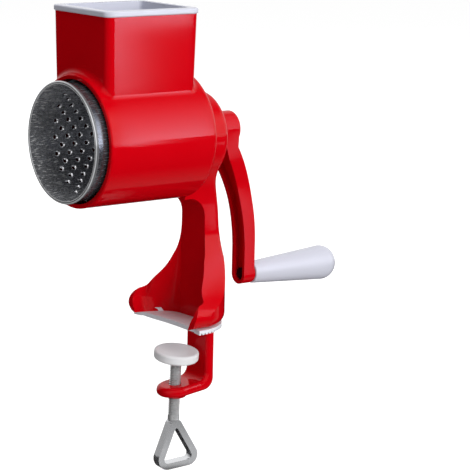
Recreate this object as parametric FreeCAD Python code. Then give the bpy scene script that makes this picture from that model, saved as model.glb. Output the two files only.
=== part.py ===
import FreeCAD, Part
import math
import os

# Hand-cranked rotary nut grinder that clamps to a table edge.
# The origin lies on the table face of the foot pad, where the clamp screw's axis meets it.
# +X points from the drum's open mouth to the crank, +Z points up. All sizes are in millimetres.

# Barrel that holds the drum
barrel_axis_z = 132.5
barrel_radius = 44.0
barrel_wall = 3.0
barrel_back_x = -2.0
barrel_length = 85.6
barrel_rear_rounding = 3.5
rear_wall = 4.0

# Hopper on top of the barrel
hopper_front_inset = 4.4
hopper_back_inset = 8.2
hopper_half_width = 32.0
hopper_rise = 83.0
hopper_corner_radius = 5.0
hopper_wall = 2.5
hopper_draft = 0.019
hopper_root_fillet = 4.5

# Boss behind the barrel, with the bearing of the drum's shaft
boss_radius = 30.0
boss_drop = 2.5
boss_length = 21.0
bearing_tube_radius = 10.5
bearing_tube_reach = 14.0
bush_outer_radius = 8.2
bush_flange_radius = 9.8
bush_flange_thickness = 1.6
boss_plate = 4.0
boss_rim = 3.0

# Column and foot
column_half_width = 13.0
column_front_x = 11.8
column_back_x = 25.6
column_back_slope = 0.07
column_back_rounding = 4.5
column_neck_drop = 50.5
column_waist_drop = 57.5
column_waist_pull = 20.0
column_shoulder_drop = 20.5
column_shoulder_pull = 14.0
throat_radius = 13.5
flare_radius = 70.0
foot_front_x = -14.4
foot_back_x = 30.0
foot_half_width = 38.8
foot_plan_margin = 0.8
toe_radius = 8.5
toe_straight = 5.0
sole_rounding = 7.0
scoop_bend = 10.0
crest_low = 5.0
crest_high = 53.0
crest_inset = 1.6
crest_points = [(1.6, 10.5), (5.2, 15.5), (10.3, 20.0), (14.5, 25.5), (19.0, 32.0), (22.6, 41.0)]
heel_low = 9.0
heel_pull = 18.0
heel_high_pull = 25.0

# Foot pad
pad_thickness = 3.0
pad_inset = 1.8
pad_front_bow = 6.0
pad_corner_cut = 2.5
pad_groove_pitch = 3.2
pad_groove_width = 1.4
pad_groove_depth = 1.0
tab_length = 9.6
tab_height = 2.4
tab_depth = 4.0
tab_center_x = 2.4
tab_center_y = 25.8
tab_angle = -28.0

# Clamp arm and jaw
arm_front_x = 16.6
arm_thickness = 6.8
arm_half_width = 12.6
arm_outer_bend = 8.5
arm_inner_bend = 7.0
arm_edge_rounding = 3.0
screw_lean = 2.0
jaw_top = 43.0
jaw_slope = 8.5
jaw_thickness = 7.0
jaw_boss_radius = 9.2
jaw_boss_height = 9.6
jaw_boss_rounding = 4.2
nut_across_flats = 13.0
nut_height = 5.0
nut_depth = 2.4

# Clamp screw, pad and handle, measured down the screw's axis from the table face
screw_radius = 4.0
screw_bore_clearance = 0.3
thread_pitch = 1.25
thread_depth = 0.7
thread_start = 27.0
thread_end = 65.0
ball_radius = 3.0
ball_neck_radius = 2.0
ball_neck_length = 2.8
disc_center = 19.0
disc_radius = 15.5
disc_thickness = 6.4
disc_rim_rounding = 1.6
disc_dish = 0.8
disc_hub_radius = 6.2
disc_hub_drop = 2.6
disc_ball_drop = 4.6
disc_tilt = 7.5
disc_tilt_direction = -105.0
ring_wire_radius = 0.5
ring_inset = 1.0
bow_top = 68.5
bow_height = 34.2
bow_top_half_width = 3.2
bow_bottom_half_width = 19.7
bow_strip_thickness = 4.6
bow_strip_width = 8.0
bow_corner_radius = 7.5
bow_bar_thickness = 4.4
bow_swing = 6.5
bow_rest_angle = -8.5
stud_radius = 3.4

# Drum
drum_clearance = 2.25
drum_sheet = 0.6
drum_length = 87.0
rim_overhang = 1.55
rim_width = 2.6
rim_lip = 0.6
rim_rounding = 1.0
hole_radius = 1.1
hole_pitch = 10.0
hole_rows = 44
hole_margin = 20.8
cap_sheet = 0.8
cap_shoulder_width = 4.5
cap_depth = 13.0
cap_flat_radius = 11.0
shaft_radius = 6.25
shaft_seat_depth = 7.7
shaft_tip_radius = 4.0
shaft_tip_length = 10.5
shaft_tip_chamfer = 0.6
shaft_head_radius = 8.5
shaft_head_thickness = 2.4
rivet_washer_radius = 10.0
rivet_washer_thickness = 1.4
thrust_washer_radius = 9.6
thrust_washer_thickness = 1.0
thrust_gap = 0.1
cap_gap = 0.3

# Crank
crank_radius = 104.2
hub_radius = 12.0
hub_length = 23.7
hub_gap = 0.3
hub_rounding = 2.0
hub_washer_rim = 2.4
hub_washer_thickness = 0.8
insert_radius = 6.0
insert_length = 11.0
crank_reach = 32.7
crank_thickness = 9.0
crank_root_reach = 9.0
crank_front_bend = 135.0
crank_straight_length = 16.7
crank_half_width = 7.1
crank_flare_length = 54.5
channel_stop = 20.5
channel_rim = 2.3
channel_depth = 4.5
crank_boss_radius = 6.6
crank_boss_height = 1.4

# Grip and its axle
grip_length = 75.0
grip_small_radius = 7.6
grip_large_radius = 12.2
grip_gap = 0.4
grip_end_length = 11.5
grip_edge_rounding = 0.8
axle_radius = 3.0
axle_head_radius = 4.2
axle_head_height = 2.2
axle_snap_radius = 3.7
axle_snap_length = 4.0
axle_reach = 48.0

# Pusher
pusher_clearance = 0.5
pusher_wall = 2.0
pusher_flange = 3.9
pusher_overhang = 1.0
pusher_drum_gap = 3.0
pusher_flange_rounding = 1.2

# Clearances
running_clearance = 0.06
fit_clearance = 0.15

# Places that follow from the sizes
barrel_mouth_x = barrel_back_x - barrel_length
barrel_bore = barrel_radius - barrel_wall
barrel_inner_x = barrel_back_x - rear_wall
hopper_half_length = (barrel_length - hopper_front_inset - hopper_back_inset) / 2
hopper_center_x = barrel_mouth_x + hopper_front_inset + hopper_half_length
hopper_top_z = barrel_axis_z + hopper_rise
boss_back_x = barrel_back_x + boss_length
column_neck_z = barrel_axis_z - column_neck_drop
column_waist_z = barrel_axis_z - column_waist_drop
column_shoulder_z = barrel_axis_z - column_shoulder_drop
boss_axis_z = barrel_axis_z - boss_drop
throat_z = barrel_axis_z - barrel_radius - throat_radius
arm_back_x = arm_front_x + arm_thickness
tube_front_x = barrel_inner_x - bearing_tube_reach
thrust_washer_x = tube_front_x - bush_flange_thickness - thrust_gap - thrust_washer_thickness
cap_floor_x = thrust_washer_x - cap_gap
shaft_head_back_x = cap_floor_x - cap_sheet - rivet_washer_thickness
drum_back_x = cap_floor_x + cap_depth
drum_front_x = drum_back_x - drum_length
drum_radius = barrel_bore - drum_clearance
drum_bore = drum_radius - drum_sheet
rim_radius = drum_radius + rim_overhang
hub_front_x = boss_back_x + hub_gap
hub_back_x = hub_front_x + hub_length
hub_washer_radius = hub_radius - hub_washer_rim
shaft_seat_x = hub_front_x + shaft_seat_depth
grip_axis_z = barrel_axis_z - crank_radius
crank_front_x = hub_front_x + crank_reach
crank_back_x = crank_front_x + crank_thickness
crank_root_front_x = hub_front_x + crank_root_reach
crank_straight_z = grip_axis_z + crank_straight_length
crank_flare_z = barrel_axis_z - crank_flare_length
channel_end_z = barrel_axis_z - channel_stop
grip_front_x = crank_back_x + crank_boss_height + grip_gap

UP = FreeCAD.Vector(0, 0, 1)
ALONG_X = FreeCAD.Vector(1, 0, 0)
ALONG_Y = FreeCAD.Vector(0, 1, 0)
ORIGIN = FreeCAD.Vector(0, 0, 0)


def at(x, y, z):
    return FreeCAD.Vector(x, y, z)


def side(points):
    """Points (x, z) of a side outline, in the plane of symmetry."""
    return [at(x, 0, z) for x, z in points]


def plan(points, z=0):
    """Points (x, y) of a plan outline."""
    return [at(x, y, z) for x, y in points]


def rounded(points, radii):
    """A closed face through the points, each corner rounded by its radius."""
    edges = []
    ends = []
    count = len(points)
    for index, corner in enumerate(points):
        before = (points[index - 1] - corner).normalize()
        after = (points[(index + 1) % count] - corner).normalize()
        radius = radii[index]
        if radius == 0:
            ends.append((corner, corner))
            continue
        half_angle = before.getAngle(after) / 2
        reach = radius / math.tan(half_angle)
        bisector = (before + after).normalize()
        center = corner + bisector * (radius / math.sin(half_angle))
        start = corner + before * reach
        middle = center - bisector * radius
        end = corner + after * reach
        edges.append(Part.Arc(start, middle, end).toShape())
        ends.append((start, end))
    for index in range(count):
        start = ends[index][1]
        end = ends[(index + 1) % count][0]
        if (end - start).Length > 1e-6:
            edges.append(Part.makeLine(start, end))
    return Part.Face(Part.Wire(Part.__sortEdges__(edges)))


def extrude_y(face, half_width):
    face.translate(at(0, -half_width, 0))
    return face.extrude(at(0, 2 * half_width, 0))


def cylinder_x(start_x, end_x, radius, axis_z=barrel_axis_z):
    return Part.makeCylinder(radius, end_x - start_x, at(start_x, 0, axis_z), ALONG_X)


def turned_x(points, axis_z=barrel_axis_z):
    """A solid turned about an axis along X, from points (x, radius)."""
    corners = [at(x, 0, axis_z + radius) for x, radius in points]
    face = Part.Face(Part.makePolygon(corners + corners[:1]))
    return face.revolve(at(0, 0, axis_z), ALONG_X, 360)


def turned_down(points):
    """A solid turned about the screw's axis before it leans, from points (radius, depth)."""
    corners = [at(radius, 0, -depth) for radius, depth in points]
    face = Part.Face(Part.makePolygon(corners + corners[:1]))
    return face.revolve(ORIGIN, UP, 360)


def lean(shape):
    """The shape turned from upright onto the clamp screw's leaning axis."""
    shape.rotate(ORIGIN, ALONG_Y, screw_lean)
    return shape


def leaning_point(x, depth):
    """The point (x, z) of the side view that lies at x and depth in the screw's own frame."""
    angle = math.radians(screw_lean)
    return (
        x * math.cos(angle) - depth * math.sin(angle),
        -x * math.sin(angle) - depth * math.cos(angle),
    )


def rounded_rectangle(center_x, half_length, half_width, radius, z):
    corners = plan(
        [
            (center_x - half_length, -half_width),
            (center_x + half_length, -half_width),
            (center_x + half_length, half_width),
            (center_x - half_length, half_width),
        ],
        z,
    )
    return rounded(corners, [radius] * 4).OuterWire


def drafted_box(inset, radius, bottom_z, top_z):
    """The hopper's tapering box, drawn in by the inset on each side."""
    wires = []
    for z in (bottom_z, top_z):
        shrink = inset + hopper_draft * (hopper_top_z - z)
        wires.append(
            rounded_rectangle(
                hopper_center_x, hopper_half_length - shrink, hopper_half_width - shrink, radius, z
            )
        )
    return Part.makeLoft(wires, True, True)


def column_front_view():
    """The outline of foot, column and boss seen along X, as a face."""
    toe_y = foot_half_width - toe_radius
    toe_z = pad_thickness + toe_radius
    toe = at(0, toe_y, toe_z)
    flare_y = column_half_width + flare_radius
    rise = (flare_radius + toe_radius) ** 2 - (flare_y - toe_y) ** 2
    flare_z = toe_z + math.sqrt(rise)
    flare = at(0, flare_y, flare_z)
    boss = at(0, 0, boss_axis_z)
    drop = boss_axis_z - column_neck_z
    neck_radius = (column_half_width ** 2 + drop ** 2 - boss_radius ** 2) / (
        2 * (boss_radius - column_half_width)
    )
    neck = at(0, column_half_width + neck_radius, column_neck_z)

    toe_bottom = at(0, toe_y, pad_thickness)
    toe_side = at(0, foot_half_width, toe_z)
    toe_top = toe + (flare - toe).normalize() * toe_radius
    flare_end = at(0, column_half_width, flare_z)
    flare_middle = flare + ((toe_top + flare_end) / 2 - flare).normalize() * flare_radius
    neck_start = at(0, column_half_width, column_neck_z)
    neck_end = boss + (neck - boss).normalize() * boss_radius
    neck_middle = neck + ((neck_start + neck_end) / 2 - neck).normalize() * neck_radius
    half = [
        Part.makeLine(at(0, 0, pad_thickness), toe_bottom),
        Part.Arc(toe_bottom, toe_side, toe_top).toShape(),
        Part.Arc(toe_top, flare_middle, flare_end).toShape(),
        Part.makeLine(flare_end, neck_start),
        Part.Arc(neck_start, neck_middle, neck_end).toShape(),
    ]
    other_half = [edge.mirror(ORIGIN, ALONG_Y) for edge in half]
    boss_top = at(0, 0, boss_axis_z + boss_radius)
    crown = Part.Arc(neck_end, boss_top, at(0, -neck_end.y, neck_end.z)).toShape()
    return Part.Face(Part.Wire(Part.__sortEdges__(half + other_half + [crown])))


def column_side_view():
    """The outline of foot, column and boss seen along Y, as a face."""
    foot_z = pad_thickness
    top_z = barrel_axis_z + boss_radius + 1
    toe_front = side([(foot_front_x, foot_z), (foot_front_x, foot_z + crest_low)])
    toe_crest = side(
        [(foot_front_x, foot_z + crest_low)]
        + [(foot_front_x + back, foot_z + rise) for back, rise in crest_points]
        + [(column_front_x - crest_inset, foot_z + crest_high)]
    )
    crest = Part.BSplineCurve()
    crest.interpolate(toe_crest)
    back_foot = side([(foot_back_x, foot_z), (foot_back_x, foot_z + heel_low)])
    waist = at(column_back_x, 0, column_waist_z)
    heel_lean = column_back_slope * heel_high_pull
    heel = Part.BezierCurve()
    heel.setPoles(
        [
            back_foot[1],
            at(foot_back_x, 0, foot_z + heel_low + heel_pull),
            at(column_back_x + heel_lean, 0, column_waist_z - heel_high_pull),
            waist,
        ]
    )
    back_high = at(boss_back_x, 0, column_shoulder_z)
    waist_lean = column_back_slope * column_waist_pull
    shoulder = Part.BezierCurve()
    shoulder.setPoles(
        [
            waist,
            at(column_back_x - waist_lean, 0, column_waist_z + column_waist_pull),
            at(boss_back_x, 0, column_shoulder_z - column_shoulder_pull),
            back_high,
        ]
    )
    edges = [
        Part.makeLine(toe_front[0], toe_front[1]),
        crest.toShape(),
        Part.makeLine(toe_crest[-1], at(toe_crest[-1].x, 0, throat_z)),
        Part.makeLine(at(toe_crest[-1].x, 0, throat_z), at(barrel_inner_x, 0, throat_z)),
        Part.makeLine(at(barrel_inner_x, 0, throat_z), at(barrel_inner_x, 0, top_z)),
        Part.makeLine(at(barrel_inner_x, 0, top_z), at(boss_back_x, 0, top_z)),
        Part.makeLine(at(boss_back_x, 0, top_z), back_high),
        shoulder.toShape(),
        heel.toShape(),
        Part.makeLine(back_foot[1], back_foot[0]),
        Part.makeLine(back_foot[0], toe_front[0]),
    ]
    return Part.Face(Part.Wire(Part.__sortEdges__(edges)))


def foot_plan(inset, z):
    """The foot's plan, drawn in by the inset: straight toes in front and a half ellipse behind."""
    half_width = foot_half_width + foot_plan_margin - inset
    front_x = foot_front_x + inset
    middle_x = foot_front_x + toe_straight
    stretch = FreeCAD.Matrix()
    stretch.scale(foot_back_x - inset - middle_x, half_width, 1)
    back = Part.makeCircle(1, ORIGIN, UP, -90, 90).transformGeometry(stretch)
    back.translate(at(middle_x, 0, z))
    near = at(middle_x, -half_width, z)
    far = at(middle_x, half_width, z)
    near_front = at(front_x, -half_width, z)
    far_front = at(front_x, half_width, z)
    edges = [
        back,
        Part.makeLine(far, far_front),
        Part.makeLine(far_front, near_front),
        Part.makeLine(near_front, near),
    ]
    return Part.Face(Part.Wire(Part.__sortEdges__(edges)))


def scoop_outline(wing, z):
    """A closed outline in front of the column, whose sides follow the wing's points (x, y)."""
    curve = Part.BSplineCurve()
    curve.interpolate(Points=plan(wing, z), InitialTangent=at(-0.3, 1, 0), FinalTangent=at(-1, 0.1, 0))
    far = curve.toShape()
    near = far.mirror(ORIGIN, ALONG_Y)
    first_x, first_y = wing[0]
    last_x, last_y = wing[-1]
    edges = [
        far,
        near,
        Part.makeLine(at(first_x, first_y, z), at(first_x, -first_y, z)),
        Part.makeLine(at(last_x, last_y, z), at(last_x, -last_y, z)),
    ]
    return Part.Wire(Part.__sortEdges__(edges))


def scoop():
    """The hollow in the foot's front, between the toes, as a solid to cut away."""
    toe_inner_y = foot_half_width - toe_radius
    front_x = foot_front_x - 5
    low_wing = [
        (column_front_x, column_half_width + 0.2),
        (column_front_x - 1.2, column_half_width + 4.6),
        (column_front_x - 3.8, column_half_width + 9),
        (column_front_x - 15, toe_inner_y - 2.6),
        (front_x, toe_inner_y + 0.6),
    ]
    middle_wing = [
        (column_front_x, column_half_width + 0.2),
        (column_front_x - 1.3, column_half_width + 4.2),
        (column_front_x - 4, column_half_width + 7.8),
        (column_front_x - 14.6, toe_inner_y),
        (front_x, toe_inner_y + 5.6),
    ]
    high_wing = [
        (column_front_x, column_half_width + 0.2),
        (column_front_x - 1.6, column_half_width + 3),
        (column_front_x - 4.4, column_half_width + 5.4),
        (column_front_x - 12.8, column_half_width + 13.8),
        (front_x, toe_inner_y + 5.6),
    ]
    low = scoop_outline(low_wing, pad_thickness)
    middle = scoop_outline(middle_wing, pad_thickness + scoop_bend)
    high = scoop_outline(high_wing, throat_z * 0.6)
    lower = Part.makeLoft([low, middle], True, True)
    higher = Part.makeLoft([middle, high], True, True)
    upper = Part.Face(high).extrude(at(0, 0, throat_z * 0.4))
    return lower.fuse(higher).fuse(upper)


def throat():
    """The round throat where the column's front sweeps up to the barrel, as a solid to cut away."""
    start_x = column_front_x - throat_radius
    outside_x = barrel_inner_x - 1
    bend = math.sqrt(0.5) * throat_radius
    edges = [
        Part.makeLine(at(outside_x, 0, throat_z), at(column_front_x, 0, throat_z)),
        Part.Arc(
            at(column_front_x, 0, throat_z),
            at(start_x + bend, 0, throat_z + bend),
            at(start_x, 0, throat_z + throat_radius),
        ).toShape(),
        Part.makeLine(at(start_x, 0, throat_z + throat_radius), at(outside_x, 0, throat_z + throat_radius)),
        Part.makeLine(at(outside_x, 0, throat_z + throat_radius), at(outside_x, 0, throat_z)),
    ]
    return extrude_y(Part.Face(Part.Wire(edges)), boss_radius)


def column():
    """Foot, column and boss in one piece, without the barrel."""
    front = column_front_view()
    front.translate(at(foot_front_x - 5, 0, 0))
    front_block = front.extrude(at(foot_back_x - foot_front_x + 10, 0, 0))
    side_block = extrude_y(column_side_view(), foot_half_width + 2)
    plan_block = foot_plan(0, pad_thickness).extrude(at(0, 0, barrel_axis_z + boss_radius + 5))
    sole_edges = [
        edge
        for edge in plan_block.Edges
        if edge.BoundBox.ZMax < pad_thickness + 0.01 and edge.BoundBox.XMax > foot_front_x + 0.01
    ]
    plan_block = plan_block.makeFillet(sole_rounding, sole_edges)
    body = front_block.common(side_block)
    back_edges = [
        edge
        for edge in body.Edges
        if edge.BoundBox.XMin > boss_back_x - 0.5 and edge.BoundBox.ZMax > pad_thickness + 1
    ]
    body = body.makeFillet(column_back_rounding, back_edges)
    body = body.common(plan_block).cut(scoop()).cut(throat())
    return body


def foot_tab(side_y, gap=0):
    """An upright block at a foot tab's place, larger by the gap where the foot clears it."""
    length = tab_length + 2 * gap
    block = Part.makeBox(length, tab_depth + gap, tab_height + gap, at(-length / 2, -gap, 0))
    block.rotate(ORIGIN, UP, tab_angle)
    block.translate(at(tab_center_x, tab_center_y, pad_thickness))
    if side_y < 0:
        block = block.mirror(ORIGIN, ALONG_Y)
    return block


def clamp_arm():
    """The arm below the foot and the round-ended jaw, which slopes down to its tip."""
    rise = math.tan(math.radians(jaw_slope))
    tip_depth = jaw_top + arm_half_width * rise
    tip_top = leaning_point(-arm_half_width, tip_depth)
    tip_bottom = leaning_point(-arm_half_width, tip_depth + jaw_thickness)
    slope = math.tan(math.radians(jaw_slope - screw_lean))
    inner_z = tip_top[1] + (arm_front_x - tip_top[0]) * slope
    outer_z = tip_bottom[1] + (arm_back_x - tip_bottom[0]) * slope
    top_z = pad_thickness + 6
    corners = side(
        [
            (arm_front_x, top_z),
            (arm_front_x, inner_z),
            tip_top,
            tip_bottom,
            (arm_back_x, outer_z),
            (arm_back_x, top_z),
        ]
    )
    profile = rounded(corners, [0, arm_inner_bend, 0, 0, arm_outer_bend, 0])
    outline = profile.OuterWire.copy()
    bracket = extrude_y(profile, arm_half_width)
    tip = Part.makeCylinder(arm_half_width, 2 * jaw_top, at(0, 0, -2 * jaw_top), UP)
    root = Part.makeBox(2 * jaw_top, 2 * arm_half_width, 3 * jaw_top, at(0, -arm_half_width, -2 * jaw_top))
    bracket = bracket.common(lean(tip.fuse(root)))
    rims = []
    for edge in bracket.Edges:
        middle = edge.valueAt((edge.FirstParameter + edge.LastParameter) / 2)
        across = edge.BoundBox.XLength + edge.BoundBox.ZLength < 0.01
        on_outline = outline.distToShape(Part.Vertex(middle.x, 0, middle.z))[0] < 0.001
        if on_outline and not across and middle.z < top_z - 0.01:
            rims.append(edge)
    return bracket.makeFillet(arm_edge_rounding, rims)


def jaw_boss():
    """The round boss below the jaw, around the screw."""
    middle_z = -jaw_top - jaw_boss_height / 2
    bottom_z = -jaw_top - jaw_boss_height
    corners = [
        at(0, 0, middle_z),
        at(jaw_boss_radius, 0, middle_z),
        at(jaw_boss_radius, 0, bottom_z),
        at(0, 0, bottom_z),
    ]
    return lean(rounded(corners, [0, 0, jaw_boss_rounding, 0]).revolve(ORIGIN, UP, 360))


def screw_bores():
    """The clear hole for the screw and the pocket for its nut, as solids to cut away."""
    hole = Part.makeCylinder(screw_radius + screw_bore_clearance, 40, at(0, 0, -jaw_top - 25), UP)
    pocket = hexagon(nut_across_flats / 2, nut_height, -jaw_top - nut_depth - nut_height)
    return [lean(hole), lean(pocket)]


def hexagon(flat_radius, height, bottom_z):
    corner_radius = flat_radius / math.cos(math.pi / 6)
    corners = [
        at(corner_radius * math.cos(math.pi / 3 * n), corner_radius * math.sin(math.pi / 3 * n), bottom_z)
        for n in range(6)
    ]
    return Part.Face(Part.makePolygon(corners + corners[:1])).extrude(at(0, 0, height))


def barrel():
    """The barrel's turned body, solid inside, with its rounded rear edge and lip."""
    corners = [
        at(barrel_mouth_x, 0, barrel_axis_z),
        at(barrel_mouth_x, 0, barrel_axis_z + barrel_radius),
        at(barrel_back_x, 0, barrel_axis_z + barrel_radius),
        at(barrel_back_x, 0, barrel_axis_z),
    ]
    face = rounded(corners, [0, barrel_wall * 0.4, barrel_rear_rounding, 0])
    return face.revolve(at(0, 0, barrel_axis_z), ALONG_X, 360)


def housing():
    body = barrel().fuse(drafted_box(0, hopper_corner_radius, barrel_axis_z, hopper_top_z))
    inner_root = [
        edge
        for edge in body.Edges
        if barrel_axis_z + barrel_radius / 2 < edge.BoundBox.ZMin
        and edge.BoundBox.ZMax < barrel_axis_z + barrel_radius + 1
        and edge.BoundBox.XMin > barrel_mouth_x + 1
        and edge.BoundBox.XMax < barrel_back_x - barrel_rear_rounding
    ]
    body = body.makeFillet(hopper_root_fillet, inner_root)
    body = body.fuse(column())
    body = body.fuse(clamp_arm()).fuse(jaw_boss())
    tube = cylinder_x(tube_front_x, boss_back_x, bearing_tube_radius)
    body = body.fuse(tube)

    hollow = cylinder_x(barrel_mouth_x - 1, barrel_inner_x, barrel_bore)
    pocket_radius = boss_radius - boss_drop - boss_rim
    pocket = cylinder_x(barrel_inner_x - 1, boss_back_x - boss_plate, pocket_radius)
    inner_corner = hopper_corner_radius - hopper_wall
    opening = drafted_box(hopper_wall, inner_corner, barrel_axis_z + barrel_bore / 2, hopper_top_z)
    top = opening.copy()
    top.translate(at(0, 0, 1))
    body = body.cut(hollow.fuse(pocket).cut(tube)).cut(opening).cut(top)
    body = body.cut(cylinder_x(tube_front_x - 1, boss_back_x + 1, bush_outer_radius))
    for cutter in screw_bores():
        body = body.cut(cutter)
    for side_y in (-1, 1):
        body = body.cut(foot_tab(side_y, fit_clearance))
    return body.removeSplitter()


def foot_pad():
    """The soft pad under the foot, with grooves across its face and a tab for each foot notch."""
    body = foot_plan(pad_inset, 0).extrude(at(0, 0, pad_thickness))
    front_x = foot_front_x + pad_inset
    half_width = foot_half_width
    near = at(front_x + pad_corner_cut, -half_width, 0)
    far = at(front_x + pad_corner_cut, half_width, 0)
    near_front = at(front_x - 1, -half_width, 0)
    far_front = at(front_x - 1, half_width, 0)
    outline = [
        Part.Arc(near, at(front_x + pad_front_bow, 0, 0), far).toShape(),
        Part.makeLine(far, far_front),
        Part.makeLine(far_front, near_front),
        Part.makeLine(near_front, near),
    ]
    body = body.cut(Part.Face(Part.Wire(outline)).extrude(at(0, 0, pad_thickness)))
    front_count = int(-front_x / pad_groove_pitch)
    back_count = int((foot_back_x - pad_inset) / pad_groove_pitch - 0.5)
    for number in range(-front_count, back_count):
        groove_x = pad_groove_pitch * (number + 0.5) - pad_groove_width / 2
        corner = at(groove_x, -half_width, 0)
        body = body.cut(Part.makeBox(pad_groove_width, 2 * half_width, pad_groove_depth, corner))
    notch_width = 2 * (arm_half_width + fit_clearance)
    notch = Part.makeBox(
        arm_thickness + 2 * fit_clearance,
        notch_width,
        pad_thickness,
        at(arm_front_x - fit_clearance, -notch_width / 2, 0),
    )
    body = body.cut(notch)
    for side_y in (-1, 1):
        body = body.fuse(foot_tab(side_y))
    return body.removeSplitter()


def shaft_bush():
    flange_x = tube_front_x - bush_flange_thickness
    bore = shaft_radius + running_clearance
    return turned_x(
        [
            (flange_x, bore),
            (flange_x, bush_flange_radius),
            (tube_front_x, bush_flange_radius),
            (tube_front_x, bush_outer_radius),
            (boss_back_x, bush_outer_radius),
            (boss_back_x, bore),
        ]
    )


def jaw_nut():
    bottom_z = -jaw_top - nut_depth - nut_height
    nut = hexagon(nut_across_flats / 2 - fit_clearance, nut_height - fit_clearance, bottom_z)
    bore_radius = screw_radius + screw_bore_clearance
    bore = Part.makeCylinder(bore_radius, nut_height + 2, at(0, 0, bottom_z - 1), UP)
    return lean(nut.cut(bore))


def drum_sleeve():
    """The drum's perforated sheet: rows of holes, each row half a pitch along from the last."""
    start_x = drum_front_x + rim_lip
    sleeve = cylinder_x(start_x, drum_back_x, drum_radius).cut(cylinder_x(start_x, drum_back_x, drum_bore))
    holes = []
    count = int((drum_back_x - drum_front_x - hole_margin) / hole_pitch)
    for row in range(hole_rows):
        angle = 360 / hole_rows * (row - 0.5)
        shift = hole_pitch / 2 * (row % 2)
        for number in range(count + 1 - row % 2):
            center_x = drum_front_x + hole_margin + shift + number * hole_pitch
            hole = Part.makeCylinder(hole_radius, 4, at(center_x, drum_bore - 2, 0), ALONG_Y)
            hole.rotate(ORIGIN, ALONG_X, angle)
            hole.translate(at(0, 0, barrel_axis_z))
            holes.append(hole)
    return sleeve.cut(Part.makeCompound(holes))


def drum_rim_ring():
    """The rolled ring that stiffens the drum's open end, with a lip over the sheet's edge."""
    corners = [
        at(drum_front_x, 0, barrel_axis_z + drum_bore),
        at(drum_front_x, 0, barrel_axis_z + rim_radius),
        at(drum_front_x + rim_width, 0, barrel_axis_z + rim_radius),
        at(drum_front_x + rim_width, 0, barrel_axis_z + drum_radius),
        at(drum_front_x + rim_lip, 0, barrel_axis_z + drum_radius),
        at(drum_front_x + rim_lip, 0, barrel_axis_z + drum_bore),
    ]
    face = rounded(corners, [rim_lip * 0.4, rim_rounding, rim_rounding, 0, 0, 0])
    return face.revolve(at(0, 0, barrel_axis_z), ALONG_X, 360)


def drum_end_cap():
    """The dished cap in the drum's closed end: a rolled shoulder, a funnel and a flat floor."""
    floor_x = cap_floor_x
    shoulder_radius = drum_bore - cap_shoulder_width
    shoulder_x = drum_back_x
    wall_x = drum_back_x - 4 * cap_sheet
    return turned_x(
        [
            (floor_x - cap_sheet, shaft_radius),
            (floor_x - cap_sheet, cap_flat_radius + cap_sheet),
            (shoulder_x - cap_sheet, shoulder_radius + cap_sheet * 0.4),
            (shoulder_x - cap_sheet, drum_bore - cap_sheet),
            (wall_x, drum_bore - cap_sheet),
            (wall_x, drum_bore),
            (shoulder_x, drum_bore),
            (shoulder_x, shoulder_radius),
            (floor_x, cap_flat_radius),
            (floor_x, shaft_radius),
        ]
    )


def washer(start_x, thickness, radius, bore):
    end_x = start_x + thickness
    return cylinder_x(start_x, end_x, radius).cut(cylinder_x(start_x, end_x, bore))


def thrust_washer():
    """The slip washer between the end cap and the bush."""
    bore = shaft_radius + running_clearance
    return washer(thrust_washer_x, thrust_washer_thickness, thrust_washer_radius, bore)


def hub_washer():
    """The slip washer let into the front of the crank's hub, where it turns against the boss."""
    bore = shaft_radius + running_clearance
    return washer(hub_front_x, hub_washer_thickness, hub_washer_radius, bore)


def drum_shaft():
    """The drum's shaft: a riveted head inside the drum, a journal and a thinner tip for the crank."""
    head_front_x = shaft_head_back_x - shaft_head_thickness
    tip_x = shaft_seat_x + shaft_tip_length
    corners = [
        at(head_front_x, 0, barrel_axis_z),
        at(head_front_x, 0, barrel_axis_z + shaft_head_radius),
        at(shaft_head_back_x, 0, barrel_axis_z + shaft_head_radius),
        at(shaft_head_back_x, 0, barrel_axis_z + shaft_radius),
        at(shaft_seat_x, 0, barrel_axis_z + shaft_radius),
        at(shaft_seat_x, 0, barrel_axis_z + shaft_tip_radius),
        at(tip_x - shaft_tip_chamfer, 0, barrel_axis_z + shaft_tip_radius),
        at(tip_x, 0, barrel_axis_z + shaft_tip_radius - shaft_tip_chamfer),
        at(tip_x, 0, barrel_axis_z),
    ]
    face = rounded(corners, [0, shaft_head_thickness * 0.7, 0, 0, 0, 0, 0, 0, 0])
    return face.revolve(at(0, 0, barrel_axis_z), ALONG_X, 360)


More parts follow.
